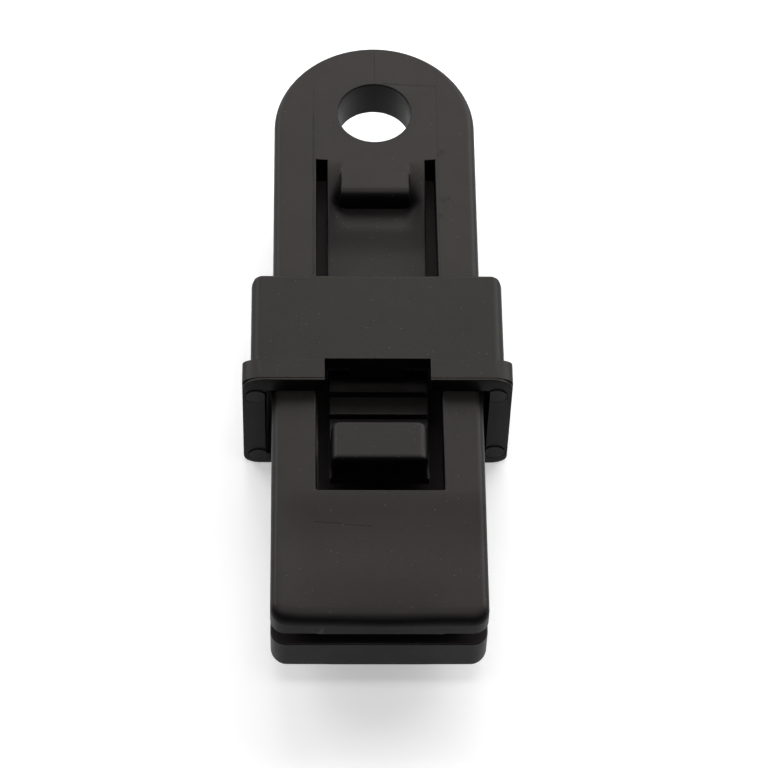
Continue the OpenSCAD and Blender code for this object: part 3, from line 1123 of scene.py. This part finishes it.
def painted_top_light_group():
    """Painted light: a paler colour on what faces up, fading as the surface tilts, standing in for the light
    that falls on the tops.
    """
    sockets = {"Normal": "Vector", "Gone": "Float", "Full": "Float"}
    group, given, made = new_group("settled_bloom", sockets, {"Mask": "Float"})
    parts = group.nodes.new("ShaderNodeSeparateXYZ")
    feed(group, parts.inputs[0], given["Normal"])
    feed(group, made["Mask"], spread(group, parts.outputs["Z"], given["Gone"], given["Full"]))
    return group


def specks_group():
    """Sparse specks of dust."""
    sockets = {"Position": "Vector", "Specks per mm": "Float", "Share": "Float", "Size": "Float"}
    group, given, made = new_group("dust_specks", sockets, {"Mask": "Float"})
    cells = group.nodes.new("ShaderNodeTexVoronoi")
    feed(group, cells.inputs["Vector"], given["Position"])
    feed(group, cells.inputs["Scale"], given["Specks per mm"])
    inside = arithmetic(group, "LESS_THAN", cells.outputs["Distance"], given["Size"])
    parts = group.nodes.new("ShaderNodeSeparateColor")
    feed(group, parts.inputs[0], cells.outputs["Color"])
    chosen = arithmetic(group, "LESS_THAN", parts.outputs["Red"], given["Share"])
    feed(group, made["Mask"], arithmetic(group, "MULTIPLY", inside, chosen))
    return group


def wear_group():
    """Light, broken rubbing on the edges, which are where a rounded normal leaves the true one."""
    sockets = {"Position": "Vector", "Breaks per mm": "Float", "Amount": "Float"}
    group, given, made = new_group("edge_wear", sockets, {"Mask": "Float"})
    rounded = group.nodes.new("ShaderNodeBevel")
    rounded.samples = WEAR_SAMPLES
    rounded.inputs["Radius"].default_value = WEAR_R * MM
    true_normal = group.nodes.new("ShaderNodeNewGeometry").outputs["Normal"]
    match = group.nodes.new("ShaderNodeVectorMath")
    match.operation = "DOT_PRODUCT"
    feed(group, match.inputs[0], rounded.outputs[0])
    feed(group, match.inputs[1], true_normal)
    edge = spread(group, match.outputs["Value"], low=0.99, high=0.9)
    breaks = noise(group, given["Position"], given["Breaks per mm"], detail=4, roughness=0.65)
    broken = spread(group, breaks, low=0.45, high=0.62)
    rubbed = arithmetic(group, "MULTIPLY", edge, broken)
    feed(group, made["Mask"], arithmetic(group, "MULTIPLY", rubbed, given["Amount"], clamp=True))
    return group


def smudge_group():
    """Round matt smudge with a ragged edge."""
    sockets = {"Position": "Vector", "Centre": "Vector", "Radius": "Float"}
    group, given, made = new_group("smudge", sockets, {"Mask": "Float"})
    span = group.nodes.new("ShaderNodeVectorMath")
    span.operation = "DISTANCE"
    feed(group, span.inputs[0], given["Position"])
    feed(group, span.inputs[1], given["Centre"])
    share = arithmetic(group, "DIVIDE", span.outputs["Value"], given["Radius"])
    rags = noise(group, given["Position"], scale=2.2, detail=4, roughness=0.7)
    ragged = arithmetic(group, "ADD", share, rags)
    feed(group, made["Mask"], spread(group, ragged, low=1.5, high=0.9))
    return group


GRAIN, CLOUDY, PAINTED_TOP_LIGHT = fine_grain_group(), cloudy_group(), painted_top_light_group()
SPECKS, WEAR, SMUDGE = specks_group(), wear_group(), smudge_group()


def place_group(tree, group, **values):
    """Places a group in a material and gives its inputs, whose names have _ for each space."""
    node = tree.nodes.new("ShaderNodeGroup")
    node.node_tree = group
    for title, value in values.items():
        feed(tree, node.inputs[title.replace("_", " ")], value)
    return node.outputs[0]


def new_material(name):
    """A material with only a Principled shader on its output, with its nodes, links and shader."""
    material = bpy.data.materials.new(name)
    material.use_nodes = True
    nodes = material.node_tree.nodes
    return material, nodes, material.node_tree.links, nodes["Principled BSDF"]


def moulded_nylon(name, look, smudges=()):
    """Black nylon from a spark-eroded mould, with painted light on its upward faces, dust, light rubbing and
    smudges.
    """
    material, nodes, links, shader = new_material(name)
    tree = material.node_tree
    coordinates = nodes.new("ShaderNodeTexCoord")
    to_mm = nodes.new("ShaderNodeVectorMath")
    to_mm.operation = "SCALE"
    to_mm.inputs["Scale"].default_value = 1 / MM
    links.new(coordinates.outputs["Object"], to_mm.inputs[0])
    position = to_mm.outputs[0]
    # Mask of the painted light on the tops: up-facing faces take the paler colour.
    painted_top_light = place_group(tree, PAINTED_TOP_LIGHT, Normal=coordinates.outputs["Normal"], Gone=0.72, Full=0.98)
    patches = place_group(tree, CLOUDY, Position=position, Clouds_per_mm=0.11, Low=0.88, High=1.06)
    colour = tint(tree, arithmetic(tree, "MULTIPLY", painted_top_light, patches), look["colour"], look["painted_top_light"])
    rubbed = place_group(tree, WEAR, Position=position, Breaks_per_mm=1.3, Amount=look["wear"])
    colour = tint(tree, rubbed, colour, WORN_COLOUR)
    low, high = look["rough"]
    roughness = place_group(tree, CLOUDY, Position=position, Clouds_per_mm=0.35, Low=low, High=high)
    for x, y, radius in smudges:
        smudge = place_group(tree, SMUDGE, Position=position, Centre=(x, y, TOP), Radius=radius)
        smudge = arithmetic(tree, "MULTIPLY", smudge, SMUDGE_DEPTH)
        colour = tint(tree, smudge, colour, SMUDGE_COLOUR)
        roughness = arithmetic(tree, "ADD", roughness, arithmetic(tree, "MULTIPLY", smudge, SMUDGE_ROUGH))
    share = look["speck_share"]
    specks = place_group(tree, SPECKS, Position=position, Specks_per_mm=1.2, Share=share, Size=0.085)
    colour = tint(tree, specks, colour, DUST_COLOUR)
    roughness = arithmetic(tree, "ADD", roughness, arithmetic(tree, "MULTIPLY", specks, SPECK_ROUGH))
    grain = nodes.new("ShaderNodeBump")
    grain.inputs["Strength"].default_value = 1
    grain.inputs["Distance"].default_value = look["grain"] * MM
    height = place_group(tree, GRAIN, Position=position, Grains_per_mm=4.5, Pits_per_mm=1.6)
    links.new(height, grain.inputs["Height"])
    links.new(grain.outputs["Normal"], shader.inputs["Normal"])
    links.new(colour, shader.inputs["Base Color"])
    links.new(roughness, shader.inputs["Roughness"])
    shader.inputs["Specular IOR Level"].default_value = look["specular"]
    shader.inputs["Specular Tint"].default_value = (*SHEEN_TINT, 1)
    return material


body_nylon = moulded_nylon("black_moulded_nylon", BODY_NYLON, SMUDGES)
tongue_nylon = moulded_nylon("black_tongue_nylon", TONGUE_NYLON)
collar_nylon = moulded_nylon("black_collar_nylon", COLLAR_NYLON)
dressed = {moulding: body_nylon, arm: body_nylon, tongue: tongue_nylon, collar: collar_nylon}
cad_dress = {"locking_tongue": tongue_nylon, "locking_collar": collar_nylon}
for node in frame["nodes"].values():
    for slot in node.material_slots:
        slot.material = cad_dress.get(node.name, body_nylon)
for piece, material in dressed.items():
    piece.data.materials.append(material)

# Floor, surroundings and lamps, with their places in metres
FLOOR_SIZE = 3
FLOOR_WHITE = 0.8
FLOOR_GLOW = 0.4
FLOOR_ROUGH = 0.9
SKY_DIFFUSE = 0.15
SKY_AIM = (0, 0.707, 0.707)
DARK_SIDE = 0
WHITE_SIDE = 0.5
LAMP_AIM = (0, -0.04, 0)
LAMPS = {"softbox_behind": ((0.05, 0.58, 0.56), (0.6, 0.5), 3.65),
         "softbox_behind_left": ((-0.66, 0.5, 0.42), (0.6, 0.6), 5.6),
         "softbox_behind_right": ((0.66, 0.5, 0.42), (0.6, 0.6), 6.8),
         "softbox_above": ((0, -0.15, 0.93), (0.5, 0.2), 1.75)}


def seen_directly(nodes, links):
    """1 for camera, glossy and transmission rays, and 0 for the rays that light the object."""
    path = nodes.new("ShaderNodeLightPath")
    first = nodes.new("ShaderNodeMath")
    second = nodes.new("ShaderNodeMath")
    for node in (first, second):
        node.operation = "MAXIMUM"
    links.new(path.outputs["Is Camera Ray"], first.inputs[0])
    links.new(path.outputs["Is Glossy Ray"], first.inputs[1])
    links.new(first.outputs[0], second.inputs[0])
    links.new(path.outputs["Is Transmission Ray"], second.inputs[1])
    return second.outputs[0]


def lay_floor():
    deselect()
    bpy.ops.mesh.primitive_plane_add(size=FLOOR_SIZE, location=(0, 0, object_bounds()[0][2]))
    floor = bpy.context.object
    floor.name = "floor"
    material, nodes, links, shader = new_material("pale_floor")
    shader.inputs["Base Color"].default_value = (FLOOR_WHITE, FLOOR_WHITE, FLOOR_WHITE, 1)
    shader.inputs["Roughness"].default_value = FLOOR_ROUGH
    shader.inputs["Specular IOR Level"].default_value = 0
    shader.inputs["Emission Color"].default_value = (1, 1, 1, 1)
    glow = nodes.new("ShaderNodeMath")
    glow.operation = "MULTIPLY"
    glow.inputs[1].default_value = FLOOR_GLOW
    links.new(seen_directly(nodes, links), glow.inputs[0])
    links.new(glow.outputs[0], shader.inputs["Emission Strength"])
    floor.data.materials.append(material)


def light_world():
    """White surroundings behind the object and dim ones before it, dim all round for the light on it."""
    world = bpy.data.worlds.new("white_studio")
    bpy.context.scene.world = world
    world.use_nodes = True
    nodes, links = world.node_tree.nodes, world.node_tree.links
    background = nodes["Background"]
    background.inputs["Color"].default_value = (1, 1, 1, 1)
    direction = nodes.new("ShaderNodeTexCoord")
    behind = nodes.new("ShaderNodeVectorMath")
    behind.operation = "DOT_PRODUCT"
    behind.inputs[1].default_value = SKY_AIM
    links.new(direction.outputs["Generated"], behind.inputs[0])
    studio = nodes.new("ShaderNodeMapRange")
    studio.interpolation_type = "SMOOTHSTEP"
    studio.inputs["From Min"].default_value = DARK_SIDE
    studio.inputs["From Max"].default_value = WHITE_SIDE
    studio.inputs["To Min"].default_value = SKY_DIFFUSE
    studio.inputs["To Max"].default_value = 1
    links.new(behind.outputs["Value"], studio.inputs["Value"])
    strength = nodes.new("ShaderNodeMix")
    strength.inputs["A"].default_value = SKY_DIFFUSE
    links.new(studio.outputs["Result"], strength.inputs["B"])
    links.new(seen_directly(nodes, links), strength.inputs["Factor"])
    links.new(strength.outputs["Result"], background.inputs["Strength"])


def hang_lamp(name, place, size, power):
    """Rectangular softbox, its size given as width and height, turned toward the object."""
    deselect()
    bpy.ops.object.light_add(type="AREA", location=place)
    lamp = bpy.context.object
    lamp.name = name
    lamp.data.shape = "RECTANGLE"
    lamp.data.size, lamp.data.size_y = size
    lamp.data.energy = power
    lamp.rotation_euler = (Vector(LAMP_AIM) - lamp.location).to_track_quat("-Z", "Y").to_euler()


lay_floor()
light_world()
for lamp_name, (place, size, power) in LAMPS.items():
    hang_lamp(lamp_name, place, size, power)

bpy.context.scene.view_settings.view_transform = "Standard"
